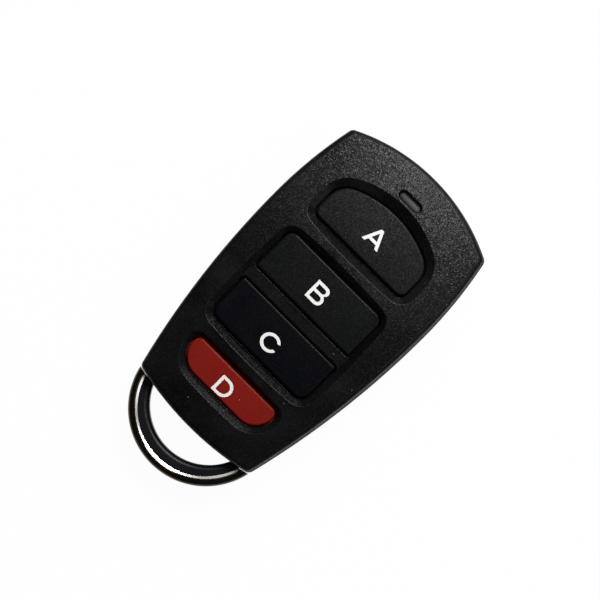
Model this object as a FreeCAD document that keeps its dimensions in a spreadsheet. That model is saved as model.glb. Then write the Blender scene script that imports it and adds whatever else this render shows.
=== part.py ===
import FreeCAD, Part

import math
import os

import Sketcher
from FreeCAD import Vector

# Gate remote control: a hand-held four-button transmitter with a keyring bail.
# Frame: +Y to the head, +X to the right, +Z out of the button face.
# The origin lies under the middle of the part, on the plane that the back rests on.

# Driving sizes in millimetres: alias, value, meaning
SIZE_ROWS = (
    # Case outline
    ("case_width", "36.2", "case at its widest"),
    ("widest_rise", "40.0", "widest place above the tail edge"),
    ("head_arc", "35.4", "radius of the head edge"),
    ("upper_arc", "81.0", "radius of the sides towards the head"),
    ("lower_arc", "157.0", "radius of the sides towards the tail"),
    ("tail_arc", "57.0", "radius of the tail edge"),
    ("corner_more", "0.45", "upright corners rounder than the edges of the face"),
    ("inner_round", "0.6", "inner upright corners"),
    # Case walls and crown
    ("crown_across", "160.0", "crown radius across the face"),
    ("crown_along", "220.0", "crown radius along the face"),
    ("crown_rise", "29.9", "highest place above the tail edge"),
    ("front_draft", "2.5", "degrees that the front shell draws in"),
    ("rear_draft", "7.0", "degrees that the rear shell draws in"),
    ("face_round", "0.95", "edge round of the button face"),
    ("back_round", "1.1", "edge round of the back"),
    ("joint_edge", "0.12", "broken edges of both shells at the parting line"),
    ("side_wall", "1.6", "side walls"),
    ("back_wall", "1.5", "back wall"),
    ("face_rise", "3.3", "top of the face above its inner side"),
    ("ledge_width", "1.2", "ledge that carries the circuit board"),
    ("ledge_depth", "0.6", "ledge below the parting line"),
    ("tongue_wall", "0.7", "tongue on the rear shell"),
    ("tongue_rise", "0.8", "tongue above the parting line"),
    ("tongue_gap", "0.1", "room round the tongue"),
    # Stock that the cuts take away
    ("stock_spare", "1.0", "stock above the highest place of the face"),
    ("cut_spare", "1.0", "cuts started before the face that they enter"),
    ("crown_share", "0.75", "half length of the crown cut, as a share of the case length"),
    ("crown_clear", "4.0", "crown cut above the stock"),
    ("crown_turn", "30.0", "degrees that the crown cut turns through"),
    # Buttons along the case, from the tail edge to the head edge
    ("tail_margin", "7.4", "tail edge to button D"),
    ("d_length", "5.35", "button D"),
    ("cd_gap", "4.3", "button D to button C"),
    ("c_length", "8.35", "button C"),
    ("bar_gap", "2.95", "button C to button B"),
    ("b_length", "8.65", "button B"),
    ("ab_gap", "4.8", "button B to button A"),
    ("a_length", "9.6", "button A"),
    ("slot_gap", "3.45", "button A to the middle of the indicator slot"),
    ("head_margin", "5.95", "middle of the slot to the head edge"),
    # Buttons across the case and their corners
    ("a_half", "10.7", "button A, half width"),
    ("a_arc", "19.7", "button A, radius of its head side"),
    ("a_tail_round", "1.4", "button A, tail corners"),
    ("a_head_round", "4.0", "button A, shoulders"),
    ("bc_half", "11.15", "buttons B and C, half width"),
    ("b_round", "1.6", "button B, head corners"),
    ("c_round", "1.8", "button C, tail corners"),
    ("bar_round", "0.4", "button corners beside the bar"),
    ("d_half", "9.55", "button D, half width"),
    ("d_tail_round", "4.0", "button D, tail corners"),
    ("d_head_round", "1.2", "button D, head corners"),
    # Sloped recesses round the buttons
    ("land_width", "0.06", "flat land round the windows"),
    ("a_floor", "1.48", "recess floor of button A above the inner side"),
    ("bc_floor", "1.9", "recess floor of buttons B and C above the inner side"),
    ("d_floor", "1.25", "recess floor of button D above the inner side"),
    ("a_fall", "3.4", "degrees that the recess floor of button A falls towards the head"),
    ("bc_fall", "1.5", "degrees that the recess floor of buttons B and C falls towards the tail"),
    ("d_fall", "5.0", "degrees that the recess floor of button D falls towards the tail"),
    ("slope_rise", "1.0", "height over which the runs of the slopes are given"),
    ("a_side_run", "1.68", "slope beside button A"),
    ("a_head_run", "1.84", "slope on the head side of button A"),
    ("a_tail_run", "1.24", "slope on the tail side of button A"),
    ("bc_side_run", "1.4", "slopes beside buttons B and C"),
    ("bc_head_run", "1.2", "slope on the head side of button B"),
    ("bc_tail_run", "1.17", "slope on the tail side of button C"),
    ("d_side_run", "1.2", "slopes beside button D"),
    ("d_head_run", "0.53", "slope on the head side of button D"),
    ("d_tail_run", "1.2", "slope on the tail side of button D"),
    # Fit of the buttons
    ("window_gap", "0.35", "room between a button and its window"),
    ("flange_reach", "0.7", "button flange beyond its window"),
    ("flange_thick", "0.8", "button flange"),
    ("flange_gap", "0.05", "room over a button flange at rest"),
    ("flange_lift", "0.35", "button flange above the top of the switch plunger"),
    ("button_wall", "1.2", "walls of the hollow buttons"),
    ("hollow_rise", "0.9", "hollow of the buttons above the inner side of the face"),
    ("button_drop", "0.45", "button tops below the crown of the face"),
    ("button_round", "0.3", "edge round of the buttons"),
    ("hollow_round", "0.8", "inner corners of the hollow buttons"),
    ("stub_radius", "1.6", "stub under each button"),
    # Indicator
    ("slot_length", "5.0", "indicator slot, end to end"),
    ("slot_width", "1.8", "indicator slot"),
    ("slot_round", "0.87", "ends of the indicator slot"),
    ("lens_gap", "0.05", "room round the indicator lens"),
    ("lens_sink", "1.2", "lens below the face"),
    ("lens_round", "0.6", "edge round of the lens"),
    ("lens_flange", "0.8", "flange under the lens"),
    ("lens_reach", "1.1", "lens flange beyond the slot"),
    ("lamp_length", "3.2", "indicator lamp"),
    ("lamp_width", "2.8", "indicator lamp"),
    ("lamp_height", "1.9", "indicator lamp"),
    ("lamp_gap", "0.1", "room between lamp and lens"),
    ("lamp_well", "1.1", "light opening in the top of the lamp"),
    ("lamp_well_depth", "0.5", "light opening in the top of the lamp"),
    # Circuit board and power
    ("board_thick", "1.0", "circuit board"),
    ("board_gap", "0.2", "room round the circuit board"),
    ("leaf_thick", "0.4", "negative contact under the board"),
    ("leaf_length", "12.0", "negative contact"),
    ("leaf_width", "5.0", "negative contact"),
    ("strap_thick", "0.3", "positive contact under the cell"),
    ("strap_width", "5.0", "positive contact"),
    ("strap_reach", "0.4", "legs of the positive contact outside the nest"),
    ("strap_gap", "0.3", "room for the positive contact in the nest"),
    ("cell_radius", "10.0", "coin cell"),
    ("cell_height", "3.2", "coin cell"),
    ("cell_edge", "0.3", "edge round of the cell"),
    ("cell_crimp", "0.9", "crimped rim of the cell"),
    ("cell_groove", "0.4", "seal groove inside the crimped rim"),
    ("cell_shift", "4.95", "middle of the cell above the bar"),
    ("cell_gap", "0.3", "room round the cell"),
    ("nest_wall", "1.0", "ring that holds the cell"),
    ("nest_rise", "2.6", "ring that holds the cell"),
    # Switches
    ("switch_side", "6.0", "switch base, square"),
    ("switch_base", "2.2", "switch base"),
    ("switch_floor", "1.2", "floor inside the switch base"),
    ("switch_cover", "0.3", "switch cover plate"),
    ("switch_height", "3.1", "switch from the board to the top of the plunger"),
    ("well_gap", "0.15", "room round the dome and the plunger's foot"),
    ("plunger_radius", "1.65", "switch plunger"),
    ("plunger_gap", "0.1", "room round the plunger"),
    ("plunger_foot", "0.35", "foot of the plunger"),
    ("dome_radius", "1.9", "snap dome"),
    ("dome_rise", "0.45", "snap dome"),
    ("dome_thick", "0.1", "snap dome"),
    ("dome_gap", "0.05", "plunger above the dome at rest"),
    ("lead_width", "0.7", "switch leads"),
    ("lead_reach", "1.0", "switch leads beyond the base"),
    ("lead_thick", "0.2", "switch leads"),
    ("lead_pitch", "4.5", "switch leads apart"),
    # Chips on the board
    ("chip_inset", "9.5", "encoder chip from the widest side"),
    ("chip_y", "1.5", "encoder chip, along"),
    ("chip_length", "8.65", "encoder chip"),
    ("chip_width", "3.9", "encoder chip"),
    ("chip_height", "1.5", "encoder chip"),
    ("chip_stand", "0.1", "encoder chip above the board"),
    ("pin_pitch", "1.27", "chip leads apart"),
    ("pin_width", "0.42", "chip leads"),
    ("pin_reach", "1.0", "chip leads beyond the chip"),
    ("pin_thick", "0.2", "chip leads"),
    ("resonator_inset", "9.4", "resonator from the widest side"),
    ("resonator_y", "15.0", "resonator, along"),
    ("resonator_side", "5.0", "resonator, square"),
    ("resonator_height", "1.4", "resonator"),
    ("transistor_y", "9.2", "transistor, along"),
    ("transistor_length", "2.9", "transistor"),
    ("transistor_width", "1.3", "transistor"),
    ("transistor_height", "1.1", "transistor"),
    ("part_length", "1.6", "small chip parts"),
    ("part_width", "0.8", "small chip parts"),
    ("part_pitch", "1.9", "small chip parts apart"),
    ("resistor_y", "4.5", "first chip resistor, along"),
    ("coil_gap", "3.0", "coils above button D"),
    ("resistor_height", "0.45", "chip resistors"),
    ("capacitor_height", "0.8", "chip capacitors"),
    ("coil_side", "2.5", "chip inductors, square"),
    ("coil_height", "1.8", "chip inductors"),
    # Screws and their bosses
    ("screw_inset", "5.1", "head screws from the widest side"),
    ("screw_head_y", "6.8", "head screws from the head edge"),
    ("screw_tail_y", "3.7", "tail screw from the tail edge"),
    ("screw_radius", "0.8", "screw shank"),
    ("screw_length", "6.8", "screw shank"),
    ("screw_tip", "0.5", "tapered tip of the screw"),
    ("screw_head_radius", "1.55", "screw head"),
    ("screw_head_rise", "1.2", "screw head"),
    ("screw_head_round", "0.4", "edge of the screw head"),
    ("cross_length", "1.8", "cross recess of the screw head"),
    ("cross_width", "0.4", "cross recess of the screw head"),
    ("cross_depth", "0.6", "cross recess of the screw head"),
    ("bore_gap", "0.15", "room round the shank in the rear shell"),
    ("head_gap", "0.25", "room round the screw head"),
    ("pilot_gap", "0.02", "room round the shank in the front shell"),
    ("pilot_spare", "0.6", "screw holes deeper than the screws"),
    ("seat_depth", "2.2", "screw seat above the back"),
    ("boss_wall", "0.9", "wall round a screw head"),
    ("post_radius", "1.9", "screw posts of the front shell"),
    ("rib_radius", "0.8", "ribs that hold the board down"),
    ("rib_inset", "0.4", "ribs from the edge of the board"),
    # Keyring bail
    ("bail_lift", "4.42", "centre of the bow above the tail edge"),
    ("bow_width", "1.7", "bright bow, seen from above"),
    ("bow_height", "4.8", "bright bow"),
    ("bow_round", "1.0", "outer edges of the bow"),
    ("bow_bevel", "0.55", "bevel along the inner edge of the bow, seen from above"),
    ("bow_bevel_drop", "0.2", "height of that bevel"),
    ("bail_gap", "0.05", "room at the joints of the bail"),
    ("band_side", "3.2", "bow and core together at the sides"),
    ("band_shift", "0.75", "centre of the opening above the centre of the bow"),
    ("core_height", "3.8", "core of the bail"),
    ("core_round", "0.9", "inner edges of the core"),
    ("tang_inset", "3.2", "tang from the outside of the bow"),
    ("tang_width", "1.6", "neck of a tang"),
    ("tang_height", "2.4", "neck and foot of a tang"),
    ("foot_width", "2.7", "foot of a tang"),
    ("foot_length", "1.2", "foot of a tang"),
    ("foot_clear", "0.25", "foot of a tang behind the tail wall"),
)

document = FreeCAD.newDocument("GateRemoteControl")
sheet = document.addObject("Spreadsheet::Sheet", "Sizes")
for row, (alias, value, meaning) in enumerate(SIZE_ROWS, start=1):
    sheet.set(f"A{row}", alias)
    sheet.set(f"B{row}", value)
    sheet.set(f"C{row}", meaning)
    sheet.setAlias(f"B{row}", alias)
document.recompute()


class Size:
    """A length that knows its value and the spreadsheet formula that it comes from."""

    def __init__(self, text, value):
        self.text = text
        self.value = value

    def __add__(self, other):
        other = as_size(other)
        return Size(f"({self.text} + {other.text})", self.value + other.value)

    def __sub__(self, other):
        other = as_size(other)
        return Size(f"({self.text} - {other.text})", self.value - other.value)

    def __mul__(self, other):
        other = as_size(other)
        return Size(f"({self.text} * {other.text})", self.value * other.value)

    def __truediv__(self, other):
        other = as_size(other)
        return Size(f"({self.text} / {other.text})", self.value / other.value)

    def __neg__(self):
        return Size(f"(0 - {self.text})", -self.value)


def as_size(number):
    """A Size as it is, or a plain number as a Size."""
    if isinstance(number, Size):
        return number
    return Size(repr(float(number)), float(number))


def size(alias):
    """The Size of one cell of the sheet."""
    return Size(f"Sizes.{alias}", float(sheet.get(alias)))


def root(number):
    """The square root of a Size."""
    return Size(f"sqrt({number.text})", math.sqrt(number.value))


def smaller(one, other):
    """The smaller of two Sizes."""
    one, other = as_size(one), as_size(other)
    return Size(f"min({one.text}; {other.text})", min(one.value, other.value))


def sine(angle):
    """The sine of a Size in degrees."""
    return Size(f"sin({angle.text})", math.sin(math.radians(angle.value)))


def cosine(angle):
    """The cosine of a Size in degrees."""
    return Size(f"cos({angle.text})", math.cos(math.radians(angle.value)))


ZERO = as_size(0)


# Sketches and features

def bind(thing, path, value):
    """Tie one property to the sheet."""
    thing.setExpression(path, as_size(value).text)


def new_body(label):
    body = document.addObject("PartDesign::Body", label)
    body.Label = label
    return body


def sketch_on(body, name, height=ZERO, role="XY_Plane"):
    """An empty sketch on one of the body's origin planes, raised along the plane's normal."""
    sketch = body.newObject("Sketcher::SketchObject", f"{body.Label}_{name}")
    plane = next(item for item in body.Origin.OriginFeatures if item.Role == role)
    sketch.AttachmentSupport = (plane, [""])
    sketch.MapMode = "FlatFace"
    bind(sketch, "AttachmentOffset.Base.z", height)
    return sketch


def tilted_sketch_on(body, name, height, middle_y, fall):
    """An empty sketch that has its height at middle_y and falls towards the head."""
    sketch = sketch_on(body, name, height + middle_y * sine(fall))
    turn = FreeCAD.Rotation(Vector(1, 0, 0), -fall.value)
    sketch.AttachmentOffset = FreeCAD.Placement(Vector(), turn)
    bind(sketch, "AttachmentOffset.Base.y", middle_y * (as_size(1) - cosine(fall)))
    bind(sketch, "AttachmentOffset.Rotation.Angle", -fall)
    return sketch


def hold(sketch, constraint, value):
    """Add a constraint and tie its value to the sheet."""
    index = sketch.addConstraint(constraint)
    sketch.setExpression(f"Constraints[{index}]", value.text)


def hold_point(sketch, element, position, x, y):
    hold(sketch, Sketcher.Constraint("DistanceX", -1, 1, element, position, x.value), x)
    hold(sketch, Sketcher.Constraint("DistanceY", -1, 1, element, position, y.value), y)


def hold_radius(sketch, element, radius):
    hold(sketch, Sketcher.Constraint("Radius", element, radius.value), radius)


def arc_about(centre, radius, start, end):
    """The arc that turns left about a centre from start to end."""
    first = math.atan2(start.y - centre.y, start.x - centre.x)
    last = math.atan2(end.y - centre.y, end.x - centre.x)
    if last < first:
        last += 2 * math.pi
    return Part.ArcOfCircle(Part.Circle(centre, Vector(0, 0, 1), radius), first, last)


def arc_between(start, end, radius):
    """The short arc of a radius that turns left from start to end."""
    chord = end - start
    reach = math.sqrt(radius ** 2 - (chord.Length / 2) ** 2)
    left = Vector(-chord.y, chord.x, 0).normalize()
    return arc_about((start + end) / 2 + left * reach, radius, start, end)


def draw_loop(sketch, corners):
    """A closed loop, drawn anticlockwise.

    Each corner is its x, its y and the radius of the arc that leads to the next corner:
    None for a straight line, negative for an arc that is hollow seen from outside.
    """
    points = [Vector(x.value, y.value, 0) for x, y, _ in corners]
    ends = []
    for index, (_, _, radius) in enumerate(corners):
        start = points[index]
        end = points[(index + 1) % len(points)]
        if radius is None:
            element = sketch.addGeometry(Part.LineSegment(start, end), False)
            ends.append((element, 1, 2))
        elif radius.value > 0:
            element = sketch.addGeometry(arc_between(start, end, radius.value), False)
            ends.append((element, 1, 2))
        else:
            element = sketch.addGeometry(arc_between(end, start, -radius.value), False)
            ends.append((element, 2, 1))
    for index, (element, first, last) in enumerate(ends):
        after, after_first, _ = ends[(index + 1) % len(ends)]
        sketch.addConstraint(Sketcher.Constraint("Coincident", element, last, after, after_first))
        x, y, radius = corners[index]
        hold_point(sketch, element, first, x, y)
        if radius is not None:
            hold_radius(sketch, element, radius if radius.value > 0 else -radius)


def draw_circle(sketch, x, y, radius):
    centre = Vector(x.value, y.value, 0)
    element = sketch.addGeometry(Part.Circle(centre, Vector(0, 0, 1), radius.value), False)
    hold_point(sketch, element, 3, x, y)
    hold_radius(sketch, element, radius)


def draw_rectangle(sketch, low_x, low_y, high_x, high_y):
    draw_loop(sketch, (
        (low_x, low_y, None),
        (high_x, low_y, None),
        (high_x, high_y, None),
        (low_x, high_y, None),
    ))


def pad(body, sketch, length, down=False):
    feature = body.newObject("PartDesign::Pad", sketch.Name + "_pad")
    feature.Profile = sketch
    feature.Reversed = down
    bind(feature, "Length", length)
    return feature


def pocket(body, sketch, length):
    """Cut upwards from a sketch."""
    feature = body.newObject("PartDesign::Pocket", sketch.Name + "_pocket")
    feature.Profile = sketch
    feature.Reversed = True
    bind(feature, "Length", length)
    return feature


def turned(body, corners):
    """A solid of revolution about the Z axis from corners given as radius and height."""
    sketch = sketch_on(body, "profile", role="XZ_Plane")
    draw_loop(sketch, corners)
    feature = body.newObject("PartDesign::Revolution", sketch.Name + "_turn")
    feature.Profile = sketch
    feature.ReferenceAxis = (sketch, ["V_Axis"])
    feature.Angle = 360.0
    return feature


def edges_of(shape, wanted):
    """Names of the edges that pass a test."""
    return [f"Edge{number}" for number, edge in enumerate(shape.Edges, start=1) if wanted(edge)]


def dress(body, kind, wanted, amount):
    """A fillet or a chamfer on the wanted edges of the body as it stands."""
    document.recompute()
    base = body.Tip
    feature = body.newObject("PartDesign::" + kind, f"{base.Name}_{kind.lower()}")
    feature.Base = (base, edges_of(base.Shape, wanted))
    bind(feature, "Radius" if kind == "Fillet" else "Size", amount)
    document.recompute()
    return feature


def is_upright(edge):
    """Whether an edge climbs more than it travels."""
    box = edge.BoundBox
    return box.ZLength > max(box.XLength, box.YLength)


def at_height(edge, height):
    """Whether an edge lies flat at a height."""
    box = edge.BoundBox
    return box.ZLength < 0.01 and abs(box.ZMin - height.value) < 0.01


def has_radius(edge, radius):
    """Whether an edge is an arc of a radius."""
    return hasattr(edge.Curve, "Radius") and abs(edge.Curve.Radius - radius.value) < 0.01


# Solids from primitives

def move_to(thing, x, y, z):
    bind(thing, "Placement.Base.x", x)
    bind(thing, "Placement.Base.y", y)
    bind(thing, "Placement.Base.z", z)


def box(name, length, width, height, x, y, z):
    """A box that stands on z, centred on x and y."""
    thing = document.addObject("Part::Box", name)
    bind(thing, "Length", length)
    bind(thing, "Width", width)
    bind(thing, "Height", height)
    move_to(thing, as_size(x) - length / 2, as_size(y) - width / 2, z)
    return thing


def cylinder(name, radius, height, z):
    """A cylinder on the Z axis that stands on z."""
    thing = document.addObject("Part::Cylinder", name)
    bind(thing, "Radius", radius)
    bind(thing, "Height", height)
    bind(thing, "Placement.Base.z", z)
    return thing


def labelled(thing, label):
    thing.Label = label
    return thing


def cut(label, base, tool):
    thing = document.addObject("Part::Cut", label)
    thing.Base = base
    thing.Tool = tool
    return labelled(thing, label)


def fuse(label, first, second):
    thing = document.addObject("Part::Fuse", label)
    thing.Base = first
    thing.Tool = second
    return labelled(thing, label)


def group(label, solids):
    thing = document.addObject("Part::Compound", label)
    thing.Links = solids
    return labelled(thing, label)


# Heights, stacked from the back to the top of the face

cell_low = size("back_wall") + size("strap_thick")
leaf_low = cell_low + size("cell_height")
board_low = leaf_low + size("leaf_thick")
board_top = board_low + size("board_thick")
parting = board_low + size("ledge_depth")
plunger_top = board_top + size("switch_height")
flange_low = plunger_top + size("flange_lift")
flange_top = flange_low + size("flange_thick")
ceiling = flange_top + size("flange_gap")
height_top = ceiling + size("face_rise")
above_all = height_top + size("stock_spare")

# Places along the length, chained so that the origin stays in the middle

half_width = size("case_width") / 2
lower_arc = size("lower_arc")
bow_run = size("widest_rise") - size("bail_lift")
bow_radius = lower_arc - root(
    (half_width - lower_arc) * (half_width - lower_arc) + bow_run * bow_run)
case_length = ZERO
for alias in ("tail_margin", "d_length", "cd_gap", "c_length", "bar_gap",
              "b_length", "ab_gap", "a_length", "slot_gap", "head_margin"):
    case_length = case_length + size(alias)
tail_y = (bow_radius - size("bail_lift") - case_length) / 2
d_low = tail_y + size("tail_margin")
d_high = d_low + size("d_length")
c_low = d_high + size("cd_gap")
c_high = c_low + size("c_length")
b_low = c_high + size("bar_gap")
b_high = b_low + size("b_length")
a_low = b_high + size("ab_gap")
a_high = a_low + size("a_length")
slot_y = a_high + size("slot_gap")
head_y = slot_y + size("head_margin")
widest_y = tail_y + size("widest_rise")
crown_y = tail_y + size("crown_rise")
bar_y = (c_high + b_low) / 2
cell_y = bar_y + size("cell_shift")
bail_y = tail_y + size("bail_lift")
tail_centre = tail_y + size("tail_arc")


def side_x(y, inset):
    """Half the width of the case at a place between the tail and the widest place."""
    radius = lower_arc - inset
    run = widest_y - y
    return half_width - lower_arc + root(radius * radius - run * run)


def tail_edge(x):
    """The tail edge at a distance from the middle line."""
    return tail_centre - root(size("tail_arc") * size("tail_arc") - x * x)


# Outline of the case

def circle_crossing(first, first_radius, second, second_radius, aim):
    """Where two circles cross, on the side of a point to aim at."""
    gap = second - first
    along = (gap.Length ** 2 + first_radius ** 2 - second_radius ** 2) / (2 * gap.Length)
    across = math.sqrt(first_radius ** 2 - along ** 2)
    unit = Vector(gap).normalize()
    middle = first + unit * along
    square = Vector(-unit.y, unit.x, 0) * across
    return min(middle + square, middle - square, key=lambda point: point.distanceToPoint(aim))


def draw_case_outline(sketch, inset, corner_round):
    """The case outline drawn in by inset: six long arcs and four round corners."""
    head = (ZERO, head_y - size("head_arc"), size("head_arc") - inset)
    tail = (ZERO, tail_centre, size("tail_arc") - inset)
    upper_shift = half_width - size("upper_arc")
    lower_shift = half_width - lower_arc
    lower_right = (lower_shift, widest_y, lower_arc - inset)
    upper_right = (upper_shift, widest_y, size("upper_arc") - inset)
    upper_left = (-upper_shift, widest_y, size("upper_arc") - inset)
    lower_left = (-lower_shift, widest_y, lower_arc - inset)
    arcs = (tail, lower_right, upper_right, head, upper_left, lower_left)
    corner_rounds = (corner_round, None, corner_round, corner_round, None, corner_round)
    centres = [Vector(x.value, y.value, 0) for x, y, _ in arcs]
    radii = [radius.value for _, _, radius in arcs]
    wide = half_width.value
    aims = [Vector(side * wide, y.value, 0) for side, y in (
        (1, tail_y), (1, widest_y), (1, head_y), (-1, head_y), (-1, widest_y), (-1, tail_y))]
    joints = []
    for index, corner in enumerate(corner_rounds):
        after = (index + 1) % len(arcs)
        if corner is None:
            side = math.copysign(wide - inset.value, aims[index].x)
            place = Vector(side, widest_y.value, 0)
            joints.append((place, None, place))
            continue
        middle = circle_crossing(
            centres[index], radii[index] - corner.value,
            centres[after], radii[after] - corner.value, aims[index])
        joints.append((
            centres[index] + Vector(middle - centres[index]).normalize() * radii[index],
            middle,
            centres[after] + Vector(middle - centres[after]).normalize() * radii[after]))
    long_arcs = []
    for index, (x, y, radius) in enumerate(arcs):
        start = joints[index - 1][2]
        end = joints[index][0]
        element = sketch.addGeometry(arc_about(centres[index], radii[index], start, end), False)
        long_arcs.append(element)
        hold_radius(sketch, element, radius)
        if arcs[index] not in (lower_right, lower_left):
            hold_point(sketch, element, 3, x, y)
    for index, (first, middle, last) in enumerate(joints):
        corner = corner_rounds[index]
        element = long_arcs[index]
        after = long_arcs[(index + 1) % len(arcs)]
        if middle is None:
            sketch.addConstraint(Sketcher.Constraint("Tangent", element, 2, after, 1))
            upper, end = (after, 1) if first.x > 0 else (element, 2)
            level = Sketcher.Constraint("DistanceY", -1, 1, upper, end, widest_y.value)
            hold(sketch, level, widest_y)
            continue
        bend = sketch.addGeometry(arc_about(middle, corner.value, first, last), False)
        hold_radius(sketch, bend, corner)
        sketch.addConstraint(Sketcher.Constraint("Tangent", element, 2, bend, 1))
        sketch.addConstraint(Sketcher.Constraint("Tangent", bend, 2, after, 1))


def draw_inner_outline(sketch, inset):
    draw_case_outline(sketch, inset, size("inner_round"))


def crown_cut(body, drop):
    """Cut the top of a body to the crown of the face, lowered by drop."""
    top = height_top - drop
    along = size("crown_along") - drop
    reach = case_length * size("crown_share")
    end_top = top - along + root(along * along - reach * reach)
    clear = above_all + size("crown_clear")
    sketch = sketch_on(body, "crown", role="YZ_Plane")
    draw_loop(sketch, (
        (crown_y - reach, end_top, -along),
        (crown_y + reach, end_top, None),
        (crown_y + reach, clear, None),
        (crown_y - reach, clear, None),
    ))
    axis_height = top - (size("crown_across") - drop)
    axis_end = Vector(1, axis_height.value, 0)
    axis = sketch.addGeometry(Part.LineSegment(Vector(0, axis_height.value, 0), axis_end), True)
    hold_point(sketch, axis, 1, ZERO, axis_height)
    hold_point(sketch, axis, 2, as_size(1), axis_height)
    groove = body.newObject("PartDesign::Groove", f"{body.Label}_crown_groove")
    groove.Profile = sketch
    groove.ReferenceAxis = (sketch, ["Axis0"])
    bind(groove, "Angle", size("crown_turn"))
    groove.Midplane = True
    return groove


# Outlines of the buttons and of what is cut round them

class KeyShape:
    """A four-sided outline with round corners, whose head side may be an arc."""

    def __init__(self, half, low, high, tail_round, head_round, head_arc=None):
        self.half = half
        self.low = low
        self.high = high
        self.tail_round = tail_round
        self.head_round = head_round
        self.head_arc = head_arc

    def grown(self, side, head=None, tail=None):
        """The outline moved outwards, by side all round or by its own amount at each end."""
        head = side if head is None else head
        tail = side if tail is None else tail
        return KeyShape(
            self.half + side, self.low - tail, self.high + head,
            self.tail_round + smaller(side, tail), self.head_round + smaller(side, head),
            self.head_arc and self.head_arc + head)

    def hollow(self, wall):
        """The outline of the hollow inside a wall."""
        corner = size("hollow_round")
        return KeyShape(
            self.half - wall, self.low + wall, self.high - wall, corner, corner,
            self.head_arc and self.head_arc - wall)

    def draw(self, sketch):
        half, low, high = self.half, self.low, self.high
        tail, head, arc = self.tail_round, self.head_round, self.head_arc
        if arc is None:
            shoulder_y = high - head
            meet_x = half - head
            meet_y = high
        else:
            shoulder_x = half - head
            rise = root((arc - head) * (arc - head) - shoulder_x * shoulder_x)
            shoulder_y = high - arc + rise
            meet_x = shoulder_x * arc / (arc - head)
            meet_y = high - arc + rise * arc / (arc - head)
        draw_loop(sketch, (
            (tail - half, low, None),
            (half - tail, low, tail),
            (half, low + tail, None),
            (half, shoulder_y, head),
            (meet_x, meet_y, arc),
            (-meet_x, meet_y, head),
            (-half, shoulder_y, None),
            (-half, low + tail, tail),
        ))


button_a = KeyShape(
    size("a_half"), a_low, a_high, size("a_tail_round"), size("a_head_round"), size("a_arc"))
button_b = KeyShape(size("bc_half"), b_low, b_high, size("bar_round"), size("b_round"))
button_c = KeyShape(size("bc_half"), c_low, c_high, size("c_round"), size("bar_round"))
button_d = KeyShape(size("d_half"), d_low, d_high, size("d_tail_round"), size("d_head_round"))
buttons = {"a": button_a, "b": button_b, "c": button_c, "d": button_d}
button_pair = KeyShape(size("bc_half"), c_low, b_high, size("c_round"), size("b_round"))
slot_shape = KeyShape(
    size("slot_length") / 2, slot_y - size("slot_width") / 2, slot_y + size("slot_width") / 2,
    size("slot_round"), size("slot_round"))

# Screws: two under the head corners and one at the tail

screw_x = half_width - size("screw_inset")
screw_places = (
    ("left", -screw_x, head_y - size("screw_head_y")),
    ("right", screw_x, head_y - size("screw_head_y")),
    ("tail", ZERO, tail_y + size("screw_tail_y")),
)
screw_end = size("seat_depth") + size("screw_length")
head_bore = size("screw_head_radius") + size("head_gap")
boss_radius = head_bore + size("boss_wall")
board_tail = tail_y + size("screw_tail_y") + boss_radius + size("board_gap")

# Keyring bail

bow_inner = bow_radius - size("bow_width")
core_outer = bow_inner - size("bail_gap")
core_inner = bow_radius - size("band_side")
tang_x = bow_radius - size("tang_inset")
tang_low = parting - size("tang_height") / 2
foot_start = (tail_edge(tang_x + size("foot_width") / 2)
              + size("side_wall") + size("foot_clear"))
foot_end = foot_start + size("foot_length")


def circles_meet(centre, radius, other_centre, other_radius):
    """Where two circles centred on the middle line meet, on the right-hand side."""
    y = ((radius * radius - centre * centre)
         - (other_radius * other_radius - other_centre * other_centre))
    y = y / ((other_centre - centre) * 2)
    x = root(radius * radius - (y - centre) * (y - centre))
    return x, y


def draw_crescent(sketch, outer_centre, outer_radius, inner_centre, inner_radius):
    """The part of a ring that hangs below the tail edge."""
    edge = size("tail_arc") + size("bail_gap")
    outer_x, outer_y = circles_meet(outer_centre, outer_radius, tail_centre, edge)
    inner_x, inner_y = circles_meet(inner_centre, inner_radius, tail_centre, edge)
    draw_loop(sketch, (
        (-outer_x, outer_y, outer_radius),
        (outer_x, outer_y, None),
        (inner_x, inner_y, -inner_radius),
        (-inner_x, inner_y, None),
    ))


def draw_pair(sketch, middle_x, half_x, low_y, high_y):
    """The same rectangle on both sides of the middle line."""
    draw_rectangle(sketch, middle_x - half_x, low_y, middle_x + half_x, high_y)
    draw_rectangle(sketch, -middle_x - half_x, low_y, half_x - middle_x, high_y)


def make_bow():
    body = new_body("bail_bow")
    low = parting - size("bow_height") / 2
    high = parting + size("bow_height") / 2
    sketch = sketch_on(body, "outline", low)
    draw_crescent(sketch, bail_y, bow_radius, bail_y, bow_inner)
    pad(body, sketch, size("bow_height"))
    dress(body, "Fillet", lambda edge: has_radius(edge, bow_radius), size("bow_round"))

    for height, turned_over in ((low, True), (high, False)):
        def along_inner_edge(edge):
            return at_height(edge, height) and has_radius(edge, bow_inner)
        bevel = dress(body, "Chamfer", along_inner_edge, size("bow_bevel_drop"))
        bevel.ChamferType = "Two distances"
        bevel.FlipDirection = turned_over
        bind(bevel, "Size2", size("bow_bevel"))
        document.recompute()
    return body


def make_core():
    body = new_body("bail_core")
    sketch = sketch_on(body, "outline", parting - size("core_height") / 2)
    draw_crescent(sketch, bail_y, core_outer, bail_y + size("band_shift"), core_inner)
    pad(body, sketch, size("core_height"))
    dress(body, "Fillet", lambda edge: has_radius(edge, core_inner), size("core_round"))
    neck = sketch_on(body, "neck", tang_low)
    draw_pair(neck, tang_x, size("tang_width") / 2, tail_y, foot_end)
    pad(body, neck, size("tang_height"))
    foot = sketch_on(body, "foot", tang_low)
    draw_pair(foot, tang_x, size("foot_width") / 2, foot_start, foot_end)
    pad(body, foot, size("tang_height"))
    return body


# Shells

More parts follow.
